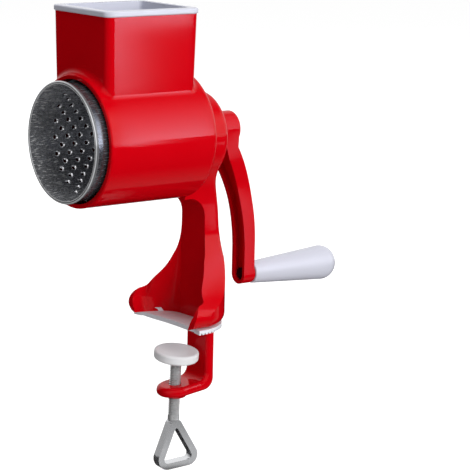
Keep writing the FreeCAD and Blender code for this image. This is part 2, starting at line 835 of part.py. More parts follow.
def crank_side_view(depth, root_x, top_z):
    """The side of the crank's blade, from its front face moved back by the depth to its back face."""
    front_x = crank_front_x + depth
    bottom_z = grip_axis_z - crank_half_width - 1
    center_x = crank_front_x - crank_front_bend
    sweep = crank_front_bend + depth
    bend_end_x = root_x + (crank_back_x - root_x) * 0.18
    end_angle = math.acos((bend_end_x - center_x) / sweep)
    bend_end = at(bend_end_x, 0, crank_straight_z + sweep * math.sin(end_angle))
    bend_middle = at(
        center_x + sweep * math.cos(end_angle / 2), 0, crank_straight_z + sweep * math.sin(end_angle / 2)
    )
    start = at(front_x, 0, crank_straight_z)
    root = at(root_x, 0, bend_end.z + 15)
    back_start_z = crank_straight_z + 7
    back_end = at(hub_back_x - hub_rounding, 0, barrel_axis_z - hub_radius)
    drop = back_end.z - back_start_z
    back_bend = (drop ** 2 + (crank_back_x - back_end.x) ** 2) / (2 * (crank_back_x - back_end.x))
    back_angle = math.asin(drop / back_bend)
    back_middle = at(
        crank_back_x - back_bend * (1 - math.cos(back_angle / 2)),
        0,
        back_start_z + back_bend * math.sin(back_angle / 2),
    )
    back_start = at(crank_back_x, 0, back_start_z)
    edges = [
        Part.makeLine(at(front_x, 0, bottom_z), start),
        Part.Arc(start, bend_middle, bend_end).toShape(),
        Part.makeLine(bend_end, root),
        Part.makeLine(root, at(root_x, 0, top_z)),
        Part.makeLine(at(root_x, 0, top_z), at(back_end.x, 0, top_z)),
        Part.makeLine(at(back_end.x, 0, top_z), back_end),
        Part.Arc(back_end, back_middle, back_start).toShape(),
        Part.makeLine(back_start, at(crank_back_x, 0, bottom_z)),
        Part.makeLine(at(crank_back_x, 0, bottom_z), at(front_x, 0, bottom_z)),
    ]
    return Part.Face(Part.Wire(edges))


def crank_outline(inset, end_z):
    """The blade seen along X, drawn in by the inset: round end, straight sides and a flare to the hub."""
    half_width = crank_half_width - inset
    flare_width = hub_radius - inset
    reach = barrel_axis_z - crank_flare_z
    far = Part.BezierCurve()
    far.setPoles(
        [
            at(0, half_width, crank_flare_z),
            at(0, half_width, crank_flare_z + reach * 0.35),
            at(0, flare_width, barrel_axis_z - reach * 0.35),
            at(0, flare_width, barrel_axis_z),
        ]
    )
    far_side = far.toShape()
    near_side = far_side.mirror(ORIGIN, ALONG_Y)
    edges = [
        Part.Arc(
            at(0, half_width, grip_axis_z),
            at(0, 0, grip_axis_z - half_width),
            at(0, -half_width, grip_axis_z),
        ).toShape(),
        Part.makeLine(at(0, half_width, grip_axis_z), at(0, half_width, crank_flare_z)),
        Part.makeLine(at(0, -half_width, grip_axis_z), at(0, -half_width, crank_flare_z)),
        far_side,
        near_side,
        Part.makeLine(at(0, flare_width, barrel_axis_z), at(0, -flare_width, barrel_axis_z)),
    ]
    face = Part.Face(Part.Wire(Part.__sortEdges__(edges)))
    face.translate(at(boss_back_x, 0, 0))
    solid = face.extrude(at(crank_back_x - boss_back_x + 5, 0, 0))
    if end_z < barrel_axis_z:
        trim = Part.makeBox(200, 60, 100, at(boss_back_x - 50, -30, end_z))
        solid = solid.cut(trim)
    return solid


def crank_arm():
    half_width = hub_radius + 1
    channel_root_x = crank_root_front_x + channel_depth
    outer_view = crank_side_view(0, crank_root_front_x, barrel_axis_z)
    inner_view = crank_side_view(channel_depth, channel_root_x, barrel_axis_z)
    blade = crank_outline(0, barrel_axis_z).common(extrude_y(outer_view, half_width))
    channel = crank_outline(channel_rim, channel_end_z).cut(extrude_y(inner_view, half_width))
    body = blade.cut(channel)
    hub = cylinder_x(hub_front_x, hub_back_x, hub_radius)
    back_rim = [
        edge
        for edge in hub.Edges
        if edge.Curve.TypeId == "Part::GeomCircle" and edge.BoundBox.XMin > hub_back_x - 0.1
    ]
    hub = hub.makeFillet(hub_rounding, back_rim)
    body = body.fuse(hub)
    boss_end_x = crank_back_x + crank_boss_height
    body = body.fuse(cylinder_x(crank_back_x - 1, boss_end_x, crank_boss_radius, grip_axis_z))
    recess_end_x = hub_front_x + hub_washer_thickness
    body = body.cut(cylinder_x(hub_front_x - 1, recess_end_x, hub_washer_radius + fit_clearance))
    body = body.cut(cylinder_x(hub_front_x - 1, shaft_seat_x, shaft_radius + running_clearance))
    body = body.cut(cylinder_x(shaft_seat_x - 1, shaft_seat_x + insert_length, insert_radius))
    body = body.cut(cylinder_x(crank_front_x - 10, crank_back_x + 10, axle_radius, grip_axis_z))
    return body.removeSplitter()


def crank_insert():
    return washer(shaft_seat_x, insert_length, insert_radius, shaft_tip_radius)


def grip_axle():
    """The pin that carries the grip: a head in the crank's channel and a barbed end inside the grip."""
    head_x = crank_front_x + channel_depth
    snap_x = grip_front_x + axle_reach
    end_x = snap_x + axle_snap_length
    return turned_x(
        [
            (head_x - axle_head_height, 0),
            (head_x - axle_head_height, axle_head_radius),
            (head_x, axle_head_radius),
            (head_x, axle_radius),
            (snap_x, axle_radius),
            (snap_x, axle_snap_radius),
            (end_x, axle_radius * 0.8),
            (end_x, 0),
        ],
        grip_axis_z,
    )


def grip():
    """The tapered grip with its domed end, hollow for the axle and its barbed end."""
    end_x = grip_front_x + grip_length
    dome_x = end_x - grip_end_length
    bore = axle_radius + running_clearance
    chamber = axle_snap_radius + grip_gap
    chamber_x = grip_front_x + axle_reach - grip_gap
    chamber_end_x = chamber_x + axle_snap_length + 2 * grip_gap + 1
    stretch = FreeCAD.Matrix()
    stretch.scale(grip_end_length, 1, grip_large_radius)
    dome = Part.makeCircle(1, ORIGIN, ALONG_Y, 270, 360).transformGeometry(stretch)
    dome.translate(at(dome_x, 0, grip_axis_z))
    corners = [
        (dome_x, grip_large_radius),
        (grip_front_x, grip_small_radius),
        (grip_front_x, bore),
        (chamber_x, bore),
        (chamber_x, chamber),
        (chamber_end_x, chamber),
        (chamber_end_x, 0),
        (end_x, 0),
    ]
    points = [at(x, 0, grip_axis_z + radius) for x, radius in corners]
    lines = [Part.makeLine(first, second) for first, second in zip(points, points[1:])]
    face = Part.Face(Part.Wire(Part.__sortEdges__(lines + [dome])))
    body = face.revolve(at(0, 0, grip_axis_z), ALONG_X, 360)
    front_rim = [
        edge
        for edge in body.Edges
        if edge.BoundBox.XMax < grip_front_x + 0.1 and edge.BoundBox.ZLength > 2 * bore + 1
    ]
    return body.makeFillet(grip_edge_rounding, front_rim)


def pusher():
    """The hopper's pusher: an open box with a flange on the rim and a hollowed underside."""
    inset = hopper_wall + pusher_clearance
    corner = hopper_corner_radius - hopper_wall
    low_z = barrel_axis_z + barrel_bore / 2
    body = drafted_box(inset, corner, low_z, hopper_top_z)
    rim = rounded_rectangle(
        hopper_center_x,
        hopper_half_length + pusher_overhang,
        hopper_half_width + pusher_overhang,
        hopper_corner_radius + pusher_overhang,
        hopper_top_z,
    )
    flange = Part.Face(rim).extrude(at(0, 0, pusher_flange))
    level_edges = [edge for edge in flange.Edges if edge.BoundBox.ZLength < 0.01]
    flange = flange.makeFillet(pusher_flange_rounding, level_edges)
    body = body.fuse(flange)
    hollow = drafted_box(inset + pusher_wall, corner, low_z, hopper_top_z)
    mouth = hollow.copy()
    mouth.translate(at(0, 0, pusher_flange))
    under = drum_radius + pusher_drum_gap
    long_front_x = hopper_center_x - hopper_half_length
    long_back_x = hopper_center_x + hopper_half_length
    underside = cylinder_x(long_front_x, long_back_x, under)
    floor = cylinder_x(long_front_x, long_back_x, under + pusher_wall)
    return body.cut(hollow.fuse(mouth).cut(floor)).cut(underside).removeSplitter()


def tilt_disc(shape):
    """The shape turned on the screw's ball to the disc's resting tilt."""
    angle = math.radians(disc_tilt_direction + 90)
    ball_center = at(0, 0, -disc_center - disc_ball_drop)
    shape.rotate(ball_center, at(math.cos(angle), math.sin(angle), 0), disc_tilt)
    return shape


def clamp_pad():
    """The round pad on top of the screw, dished on top, with a hub and socket for the screw's ball."""
    bottom = disc_center + disc_thickness
    hub_bottom = bottom + disc_hub_drop
    corners = [
        at(0, 0, -disc_center),
        at(disc_radius, 0, -disc_center),
        at(disc_radius, 0, -bottom),
        at(disc_hub_radius, 0, -bottom),
        at(disc_hub_radius, 0, -hub_bottom),
        at(0, 0, -hub_bottom),
    ]
    face = rounded(corners, [0, disc_rim_rounding, disc_rim_rounding, 0, 0.5, 0])
    body = face.revolve(ORIGIN, UP, 360)
    dish_reach = disc_radius - 1.5 * disc_rim_rounding
    dish_radius = (dish_reach ** 2 + disc_dish ** 2) / (2 * disc_dish)
    dish = Part.makeSphere(dish_radius, at(0, 0, dish_radius - disc_center - disc_dish))
    ball = disc_center + disc_ball_drop
    bore = ball_radius + running_clearance
    socket = Part.makeSphere(bore, at(0, 0, -ball))
    mouth = Part.makeCylinder(bore, hub_bottom - ball, at(0, 0, -hub_bottom), UP)
    groove = Part.makeCylinder(
        ball_radius + ring_wire_radius + fit_clearance,
        2 * (ring_wire_radius + fit_clearance),
        at(0, 0, -hub_bottom + ring_inset - ring_wire_radius - fit_clearance),
        UP,
    )
    return lean(tilt_disc(body.cut(dish).cut(socket).cut(mouth).cut(groove)))


def pad_retainer():
    """The open wire ring in the pad's socket that keeps the ball in place."""
    ring_z = disc_center + disc_thickness + disc_hub_drop - ring_inset
    ring = Part.makeTorus(ball_radius, ring_wire_radius, at(0, 0, -ring_z), UP)
    gap = Part.makeBox(10, 2, 4, at(0, -1, -ring_z - 2))
    return lean(tilt_disc(ring.cut(gap)))


def thread_cut():
    """The groove of the screw's thread, as a helical solid to cut away."""
    length = thread_end - thread_start
    helix = Part.makeHelix(thread_pitch, length, screw_radius)
    half = thread_pitch * 0.44
    outside = screw_radius + 0.3
    inside = screw_radius - thread_depth
    corners = [
        at(outside, 0, -half * 1.3),
        at(inside, 0, -half * 0.15),
        at(inside, 0, half * 0.15),
        at(outside, 0, half * 1.3),
    ]
    profile = Part.makePolygon(corners + corners[:1])
    groove = Part.Wire(helix.Edges).makePipeShell([profile], True, True)
    groove.translate(at(0, 0, -thread_end))
    return groove


def clamp_screw():
    """The clamp screw: a ball and neck on top, the thread and a plain stud below."""
    ball = disc_center + disc_ball_drop
    shoulder = ball + ball_radius + ball_neck_length
    bottom = bow_top + bow_bar_thickness + 1
    chamfer = thread_depth
    shank = turned_down(
        [
            (0, ball),
            (ball_neck_radius, ball),
            (ball_neck_radius, shoulder),
            (screw_radius - chamfer, shoulder),
            (screw_radius, shoulder + chamfer),
            (screw_radius, bow_top),
            (stud_radius, bow_top),
            (stud_radius, bottom),
            (0, bottom),
        ]
    )
    body = shank.cut(thread_cut()).fuse(Part.makeSphere(ball_radius, at(0, 0, -ball)))
    return lean(body)


def clamp_bow():
    """The triangular bow of bent strip at the screw's lower end."""
    bottom = bow_top + bow_height
    outer = side(
        [
            (-bow_top_half_width, -bow_top),
            (bow_top_half_width, -bow_top),
            (bow_bottom_half_width, -bottom),
            (-bow_bottom_half_width, -bottom),
        ]
    )
    reach = bow_strip_thickness
    slope = (bow_bottom_half_width - bow_top_half_width) / bow_height
    side_reach = reach * math.sqrt(1 + slope * slope)
    apex = (side_reach - bow_top_half_width) / slope
    bottom_half = bow_bottom_half_width - slope * bow_bar_thickness - side_reach
    inner = side(
        [
            (0, -bow_top - apex),
            (bottom_half, -bottom + bow_bar_thickness),
            (-bottom_half, -bottom + bow_bar_thickness),
        ]
    )
    corner = bow_corner_radius
    loop = rounded(outer, [reach * 0.6, reach * 0.6, corner, corner]).cut(
        rounded(inner, [reach * 0.3, corner - reach, corner - reach])
    )
    strip = extrude_y(loop.Faces[0], bow_strip_width / 2)
    strip.rotate(at(0, 0, -bow_top), ALONG_Y, -bow_swing)
    strip = strip.cut(Part.makeCylinder(stud_radius, 3 * reach, at(0, 0, -bow_top - 2 * reach), UP))
    strip = strip.cut(Part.makeCylinder(screw_radius, reach, at(0, 0, -bow_top), UP))
    strip.rotate(ORIGIN, UP, bow_rest_angle)
    return lean(strip)


def export(name, shape):
    shape.exportStep("parts/" + name + ".step")


os.makedirs("parts", exist_ok=True)
export("housing", housing())
export("foot_pad", foot_pad())
export("jaw_nut", jaw_nut())
export("shaft_bush", shaft_bush())
export("drum_sleeve", drum_sleeve())
export("drum_rim_ring", drum_rim_ring())
export("drum_end_cap", drum_end_cap())
export("rivet_washer", washer(shaft_head_back_x, rivet_washer_thickness, rivet_washer_radius, shaft_radius))
export("drum_shaft", drum_shaft())
export("thrust_washer", thrust_washer())
export("crank_arm", crank_arm())
export("hub_washer", hub_washer())
export("crank_insert", crank_insert())
export("grip_axle", grip_axle())
export("grip", grip())
export("pusher", pusher())
export("clamp_pad", clamp_pad())
export("pad_retainer", pad_retainer())
export("clamp_screw", clamp_screw())
export("clamp_bow", clamp_bow())
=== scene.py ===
import math

import bmesh
import bpy
from mathutils import Matrix, Vector


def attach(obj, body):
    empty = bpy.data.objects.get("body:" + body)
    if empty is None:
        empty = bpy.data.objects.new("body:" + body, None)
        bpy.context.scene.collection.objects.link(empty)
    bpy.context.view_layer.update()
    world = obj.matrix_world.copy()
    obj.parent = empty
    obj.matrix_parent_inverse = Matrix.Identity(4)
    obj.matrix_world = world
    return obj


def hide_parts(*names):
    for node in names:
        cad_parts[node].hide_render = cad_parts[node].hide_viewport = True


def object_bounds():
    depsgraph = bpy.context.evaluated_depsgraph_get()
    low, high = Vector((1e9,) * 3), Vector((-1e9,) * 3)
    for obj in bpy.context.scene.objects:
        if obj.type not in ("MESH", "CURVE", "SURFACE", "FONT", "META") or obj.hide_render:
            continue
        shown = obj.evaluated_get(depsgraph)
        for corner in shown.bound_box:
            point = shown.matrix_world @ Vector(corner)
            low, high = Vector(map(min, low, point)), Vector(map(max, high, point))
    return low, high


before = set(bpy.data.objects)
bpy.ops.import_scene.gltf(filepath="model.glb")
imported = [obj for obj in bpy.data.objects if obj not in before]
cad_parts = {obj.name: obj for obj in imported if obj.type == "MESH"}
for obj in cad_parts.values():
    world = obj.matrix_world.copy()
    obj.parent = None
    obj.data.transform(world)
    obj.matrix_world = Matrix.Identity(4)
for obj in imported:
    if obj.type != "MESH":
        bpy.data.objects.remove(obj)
cad_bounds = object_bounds()

# Sizes in millimetres, as in the part
MM = 0.001
BARREL_AXIS_Z = 132.5
BARREL_RADIUS = 44.0
BORE_RADIUS = 41.0
HOPPER_CENTER_X = -46.7
HOPPER_HALF_WIDTH = 32.0
HOPPER_DRAFT = 0.019
HOPPER_TOP_Z = 215.5
HUB_RADIUS = 12.0
COLUMN_SIDE_Y = -13.0
CRANK_SIDE_Y = -7.1
DRUM_RADIUS = 38.75
DRUM_SHEET = 0.6
DRUM_FRONT_X = -97.0
DRUM_LENGTH = 87.0
DRUM_RIM_LIP = 0.6
HOLE_RADIUS = 1.1
HOLE_PITCH = 10.0
HOLE_ROWS = 44
HOLE_MARGIN = 20.8
SCREW_DROP = 9.0

# The photograph's viewpoint
CAMERA_TARGET = Vector((48.66, 0.0, 56.36)) * MM
CAMERA_AZIMUTH = math.radians(38.52)
CAMERA_ELEVATION = math.radians(11.158)
CAMERA_ROLL = math.radians(1.276)
CAMERA_DISTANCE = 1.4757
CAMERA_LENS = 162.2
CAMERA_SENSOR = 36


def camera_axes():
    """The camera's right, up and forward directions."""
    level = math.cos(CAMERA_ELEVATION)
    forward = Vector((
        math.sin(CAMERA_AZIMUTH) * level,
        math.cos(CAMERA_AZIMUTH) * level,
        -math.sin(CAMERA_ELEVATION),
    ))
    right = forward.cross(Vector((0, 0, 1))).normalized()
    up = right.cross(forward)
    rolled_right = right * math.cos(CAMERA_ROLL) + up * math.sin(CAMERA_ROLL)
    rolled_up = up * math.cos(CAMERA_ROLL) - right * math.sin(CAMERA_ROLL)
    return rolled_right, rolled_up, forward


def linked(name, data):
    """An object of the data, in the scene."""
    piece = bpy.data.objects.new(name, data)
    bpy.context.scene.collection.objects.link(piece)
    return piece


def make_camera():
    right, up, forward = camera_axes()
    data = bpy.data.cameras.new("camera")
    data.lens = CAMERA_LENS
    data.sensor_width = CAMERA_SENSOR
    data.clip_start = 0.05
    data.clip_end = 20
    camera = linked("camera", data)
    turned = Matrix((
        (right.x, up.x, -forward.x, 0),
        (right.y, up.y, -forward.y, 0),
        (right.z, up.z, -forward.z, 0),
        (0, 0, 0, 1),
    ))
    camera.matrix_world = Matrix.Translation(CAMERA_TARGET - forward * CAMERA_DISTANCE) @ turned
    bpy.context.scene.camera = camera


# Node trees

# The sockets of a Mix node that belong to colours
MIX_SHARE = 0
MIX_FIRST = 6
MIX_SECOND = 7
MIX_RESULT = 2

# Noise gathers round its middle, so its spread is taken from here
NOISE_LOW = 0.3
NOISE_HIGH = 0.7


def emptied(owner, output_type):
    """The material's or the world's node tree with nothing but an output, and the output's surface."""
    owner.use_nodes = True
    tree = owner.node_tree
    tree.nodes.clear()
    output = tree.nodes.new(output_type)
    return tree, output.inputs["Surface"]


def place(tree, stretch=(1, 1, 1)):
    """Object coordinates in the part's frame, stretched."""
    coordinates = tree.nodes.new("ShaderNodeTexCoord")
    mapping = tree.nodes.new("ShaderNodeMapping")
    mapping.inputs["Scale"].default_value = stretch
    tree.links.new(coordinates.outputs["Object"], mapping.inputs["Vector"])
    return mapping.outputs["Vector"]


def split(tree, output):
    """X, Y and Z of the object's or the world's coordinates."""
    coordinates = tree.nodes.new("ShaderNodeTexCoord")
    parts = tree.nodes.new("ShaderNodeSeparateXYZ")
    tree.links.new(coordinates.outputs[output], parts.inputs[0])
    return parts.outputs["X"], parts.outputs["Y"], parts.outputs["Z"]


def from_axis(tree):
    """The distance from the barrel's axis, in metres."""
    coordinates = tree.nodes.new("ShaderNodeTexCoord")
    shifted = tree.nodes.new("ShaderNodeVectorMath")
    shifted.operation = "SUBTRACT"
    shifted.inputs[1].default_value = (0, 0, BARREL_AXIS_Z * MM)
    across = tree.nodes.new("ShaderNodeVectorMath")
    across.operation = "MULTIPLY"
    across.inputs[1].default_value = (0, 1, 1)
    length = tree.nodes.new("ShaderNodeVectorMath")
    length.operation = "LENGTH"
    tree.links.new(coordinates.outputs["Object"], shifted.inputs[0])
    tree.links.new(shifted.outputs["Vector"], across.inputs[0])
    tree.links.new(across.outputs["Vector"], length.inputs[0])
    return length.outputs["Value"]


def noise(tree, vector, scale, detail, roughness=0.5):
    node = tree.nodes.new("ShaderNodeTexNoise")
    node.inputs["Scale"].default_value = scale
    node.inputs["Detail"].default_value = detail
    node.inputs["Roughness"].default_value = roughness
    tree.links.new(vector, node.inputs["Vector"])
    return node.outputs["Fac"]


def ramp(tree, value, start, end, low=0, high=1):
    """From low at the value's start to high at its end, and level beyond them."""
    node = tree.nodes.new("ShaderNodeMapRange")
    if end < start:
        start, end, low, high = end, start, high, low
    node.inputs["From Min"].default_value = start
    node.inputs["From Max"].default_value = end
    node.inputs["To Min"].default_value = low
    node.inputs["To Max"].default_value = high
    tree.links.new(value, node.inputs["Value"])
    return node.outputs["Result"]


def combined(tree, operation, values):
    """The values multiplied, added or compared, one after the other."""
    result = values[0]
    for value in values[1:]:
        node = tree.nodes.new("ShaderNodeMath")
        node.operation = operation
        tree.links.new(result, node.inputs[0])
        tree.links.new(value, node.inputs[1])
        result = node.outputs[0]
    return result


def mixed(tree, share, second):
    """A Mix node that turns to the second colour as the share grows."""
    node = tree.nodes.new("ShaderNodeMix")
    node.data_type = "RGBA"
    node.inputs[MIX_SECOND].default_value = (*second, 1)
    tree.links.new(share, node.inputs[MIX_SHARE])
    return node


# Materials


def clouded(name, shade, color, clouds_scale, clouds_detail):
    """A material whose colour drifts from the shade to the colour."""
    material = bpy.data.materials.new(name)
    tree, surface = emptied(material, "ShaderNodeOutputMaterial")
    shader = tree.nodes.new("ShaderNodeBsdfPrincipled")
    tree.links.new(shader.outputs["BSDF"], surface)
    clouds = noise(tree, place(tree), clouds_scale, clouds_detail)
    mix = mixed(tree, clouds, color)
    mix.inputs[MIX_FIRST].default_value = (*shade, 1)
    tree.links.new(mix.outputs[MIX_RESULT], shader.inputs["Base Color"])
    return material, shader, clouds


def shader_of(material):
    return next(node for node in material.node_tree.nodes if node.type == "BSDF_PRINCIPLED")


def rough_and_bumped(tree, shader, pattern, roughness, spread, height, bump):
    """Roughness that follows one pattern, and a fine relief that follows the height."""
    low, high = (roughness * share for share in spread)
    roughened = ramp(tree, pattern, NOISE_LOW, NOISE_HIGH, low, high)
    tree.links.new(roughened, shader.inputs["Roughness"])
    node = tree.nodes.new("ShaderNodeBump")
    node.inputs["Strength"].default_value = bump
    node.inputs["Distance"].default_value = 0.2 * MM
    tree.links.new(height, node.inputs["Height"])
    tree.links.new(node.outputs["Normal"], shader.inputs["Normal"])


def moulded_plastic(name, color, shade, roughness, specular, bump=0.03):
    """Moulded plastic: a faint cloudiness in its colour and gloss, and a fine skin."""
    material, shader, clouds = clouded(name, shade, color, clouds_scale=28, clouds_detail=4)
    tree = material.node_tree
    skin = noise(tree, place(tree), scale=900, detail=2)
    rough_and_bumped(tree, shader, clouds, roughness, (0.85, 1.2), skin, bump)
    shader.inputs["Specular IOR Level"].default_value = specular
    return material


def steel(name, color, shade, roughness, stretch=(1, 1, 1), scale=300, bump=0.05, metallic=1.0):
    """Steel whose streaks run along the direction stretched least. A matt finish is less metallic."""
    material, shader, _ = clouded(name, shade, color, clouds_scale=60, clouds_detail=3)
    tree = material.node_tree
    fine = noise(tree, place(tree, stretch), scale, detail=5, roughness=0.65)
    rough_and_bumped(tree, shader, fine, roughness, (0.7, 1.35), fine, bump)
    shader.inputs["Metallic"].default_value = metallic
    return material


def turned_to(material, share, color):
    """Turns the material's colour to another one where the share is 1."""
    tree = material.node_tree
    socket = shader_of(material).inputs["Base Color"]
    mix = mixed(tree, share, color)
    tree.links.new(socket.links[0].from_socket, mix.inputs[MIX_FIRST])
    tree.links.new(mix.outputs[MIX_RESULT], socket)


def ring_between(tree, radius, inner, outer):
    """1 between two pairs of radii in millimetres, each of which is a soft edge."""
    grows = ramp(tree, radius, inner[0] * MM, inner[1] * MM)
    falls = ramp(tree, radius, outer[0] * MM, outer[1] * MM, 1, 0)
    return combined(tree, "MULTIPLY", [grows, falls])


def housing_red():
    """Red plastic, with painted shade darkening the barrel's inside behind the drum."""
    material = moulded_plastic("housing_red", **RED_PLASTIC)
    tree = material.node_tree
    along = split(tree, "Object")[0]
    radius = from_axis(tree)
    inside = ramp(tree, radius, (BORE_RADIUS + 0.3) * MM, (BORE_RADIUS + 0.6) * MM, 1, 0)
    behind_mouth = ramp(tree, along, -82 * MM, -76 * MM)
    before_end = ramp(tree, along, -6 * MM, -3 * MM, 1, 0)
    painted_bore_shade = combined(tree, "MULTIPLY", [inside, behind_mouth, before_end])
    # Painted shade: the barrel's inside behind the drum is turned nearly black
    turned_to(material, painted_bore_shade, (0.06, 0.004, 0.004))
    return material


def drum_steel():
    """Drawn steel with matt white strokes along the plain band, and painted shade on the sheet's
    outside.
    """
    material = steel(
        "drum_steel",
        color=(0.66, 0.67, 0.70),
        shade=(0.50, 0.51, 0.54),
        roughness=0.24,
        stretch=(0.8, 5, 5),
        scale=200,
        bump=0.08,
    )
    tree = material.node_tree
    streaks = noise(tree, place(tree, (1, 5, 5)), scale=230, detail=2)
    strokes = ramp(tree, streaks, 0.56, 0.68, 0, 0.8)
    plain_band = ramp(tree, split(tree, "Object")[0], -79 * MM, -73 * MM, 1, 0)
    bright = combined(tree, "MULTIPLY", [strokes, plain_band])
    turned_to(material, bright, (1.0, 1.0, 1.0))
    metallic = ramp(tree, bright, 0, 1, 0.78, 0.1)
    tree.links.new(metallic, shader_of(material).inputs["Metallic"])
    radius = from_axis(tree)
    # Painted shade: the sheet's outside is turned dark grey
    outside = ramp(tree, radius, (DRUM_RADIUS - 0.2) * MM, (DRUM_RADIUS - 0.1) * MM)
    turned_to(material, outside, (0.15, 0.16, 0.18))
    return material


def rim_chrome():
    """Bright rolled rim, with painted shade in the seam beside the sheet's edge and behind its crest.
    """
    material = steel(
        "rim_chrome",
        color=(0.92, 0.93, 0.95),
        shade=(0.86, 0.87, 0.89),
        roughness=0.12,
        bump=0.02,
        metallic=0.35,
    )
    tree = material.node_tree
    radius = from_axis(tree)
    # Painted shade: a dark line in the seam beside the sheet's edge
    seam = ring_between(tree, radius, (38.66, 38.80), (39.05, 39.25))
    turned_to(material, seam, (0.05, 0.05, 0.06))
    # Painted shade: the rim is darker behind its crest
    painted_shade_behind_crest = ramp(tree, radius, 39.95 * MM, 40.2 * MM)
    turned_to(material, painted_shade_behind_crest, (0.16, 0.17, 0.18))
    return material


RED_PLASTIC = {
    "color": (0.62, 0.001, 0.006),
    "shade": (0.58, 0.0, 0.004),
    "roughness": 0.08,
    "specular": 0.12,
}
RED = moulded_plastic("red_plastic", **RED_PLASTIC)
HOUSING_RED = housing_red()
WHITE = moulded_plastic(
    "white_plastic",
    color=(0.65, 0.66, 0.75),
    shade=(0.62, 0.63, 0.72),
    roughness=0.22,
    specular=0.25,
)
PAD_WHITE = moulded_plastic(
    "pad_plastic",
    color=(0.86, 0.87, 0.92),
    shade=(0.80, 0.82, 0.88),
    roughness=0.42,
    specular=0.25,
    bump=0.08,
)
DISC_GREY = moulded_plastic(
    "disc_plastic",
    color=(0.86, 0.86, 0.88),
    shade=(0.80, 0.80, 0.82),
    roughness=0.40,
    specular=0.25,
    bump=0.06,
)
BUSH_WHITE = moulded_plastic(
    "bush_plastic",
    color=(0.70, 0.70, 0.68),
    shade=(0.64, 0.64, 0.62),
    roughness=0.38,
    specular=0.3,
    bump=0.05,
)
DRUM_STEEL = drum_steel()
# A lighter copy of the drum's steel that paints highlights on the craters' inner flanks
CRATER_HIGHLIGHT_STEEL = steel(
    "crater_steel",
    color=(0.98, 0.98, 1.0),
    shade=(0.90, 0.90, 0.92),
    roughness=0.14,
    bump=0.02,
)
BRIGHT_STEEL = steel(
    "bright_steel",
    color=(0.62, 0.63, 0.65),
    shade=(0.52, 0.53, 0.56),
    roughness=0.16,
)
DARK_STEEL = steel(
    "dark_steel",
    color=(0.06, 0.06, 0.06),
    shade=(0.03, 0.03, 0.03),
    roughness=0.40,
)
RIM_CHROME = rim_chrome()
CHROME = steel(
    "chrome",
    color=(0.80, 0.81, 0.83),
    shade=(0.72, 0.73, 0.75),
    roughness=0.10,
    scale=200,
    bump=0.01,
    metallic=0.8,
)
ZINC = steel(
    "zinc",
    color=(0.66, 0.67, 0.67),
    shade=(0.50, 0.51, 0.52),
    roughness=0.36,
    scale=500,
    bump=0.10,
    metallic=0.5,
)
BRASS = steel(
    "brass",
    color=(0.66, 0.50, 0.24),
    shade=(0.58, 0.42, 0.18),
    roughness=0.24,
)

NODE_MATERIALS = {
    "housing": HOUSING_RED,
    "foot_pad": PAD_WHITE,
    "jaw_nut": ZINC,
    "shaft_bush": BUSH_WHITE,
    "drum_end_cap": BRIGHT_STEEL,
    "rivet_washer": BRIGHT_STEEL,
    "drum_shaft": BRIGHT_STEEL,
    "thrust_washer": BUSH_WHITE,
    "crank_arm": RED,
    "hub_washer": BUSH_WHITE,
    "crank_insert": BRASS,
    "grip_axle": DARK_STEEL,
    "grip": WHITE,
    "pusher": WHITE,
    "clamp_pad": DISC_GREY,
    "pad_retainer": BRIGHT_STEEL,
    "clamp_screw": ZINC,
    "clamp_bow": CHROME,
}


def color_nodes():
    for node, material in NODE_MATERIALS.items():
        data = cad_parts[node].data
        data.materials.clear()
        data.materials.append(material)


def round_bow_edges():
    """Rounds the long edges of the bow's strip."""
    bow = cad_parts["clamp_bow"]
    weld = bow.modifiers.new("weld", "WELD")
    weld.merge_threshold = 0.01 * MM
    edges = bow.modifiers.new("edges", "BEVEL")
    edges.width = 1.3 * MM
    edges.segments = 4
    edges.limit_method = "ANGLE"
    edges.angle_limit = math.radians(50)


# Meshes


def meshed(name, mesh, materials):
    """An object of the finished mesh, in the scene."""
    data = bpy.data.meshes.new(name)
    mesh.to_mesh(data)
    mesh.free()
    for material in materials:
        data.materials.append(material)
    return linked(name, data)


def smoothed(mesh):
    bmesh.ops.recalc_face_normals(mesh, faces=mesh.faces)
    for face in mesh.faces:
        face.smooth = True


def steps(start, end, count):
    """Evenly spaced values from the start to the end."""
    return [start + (end - start) * n / (count - 1) for n in range(count)]


# The drum's sheet, with each hole punched outwards into a torn crater

# Each ring's radius, and the height of its outer and inner face over the sheet's outside
CRATER_RINGS = [
    (2.60, 0.0, -DRUM_SHEET),
    (2.25, 0.03, -0.56),
    (1.95, 0.14, -0.44),
    (1.68, 0.34, -0.22),
    (1.45, 0.62, 0.10),
    (1.25, 0.92, 0.48),
    (HOLE_RADIUS, 1.12, 0.82),
]
# The crater's inner flank gets a lighter steel, a painted highlight, from this ring on, counted from
# the cell's edge
PAINTED_HIGHLIGHT_FROM = 4
PAINTED_HIGHLIGHT_SLOT = 1
# The torn edge: each wave's height, its number round the hole and its shift from hole to hole
TEARS = [(0.16, 3, 1.7), (0.10, 7, 2.9)]
CELL_STEPS = 8
ROW_SHARES = (-1, -0.5, 0, 0.5, 1)
ROW_HALF_ANGLE = math.pi / HOLE_ROWS
FRONT_DIVISIONS = 10
HALF_CELL_DIVISIONS = 4
WELD_DISTANCE = 0.002 * MM


def sleeve_point(along, around, lift):
    """A point of the sheet, from its place along X, its angle and its height above the outside face."""
    radius = (DRUM_RADIUS + lift) * MM
    y = radius * math.cos(around)
    z = BARREL_AXIS_Z * MM + radius * math.sin(around)
    return Vector((along * MM, y, z))


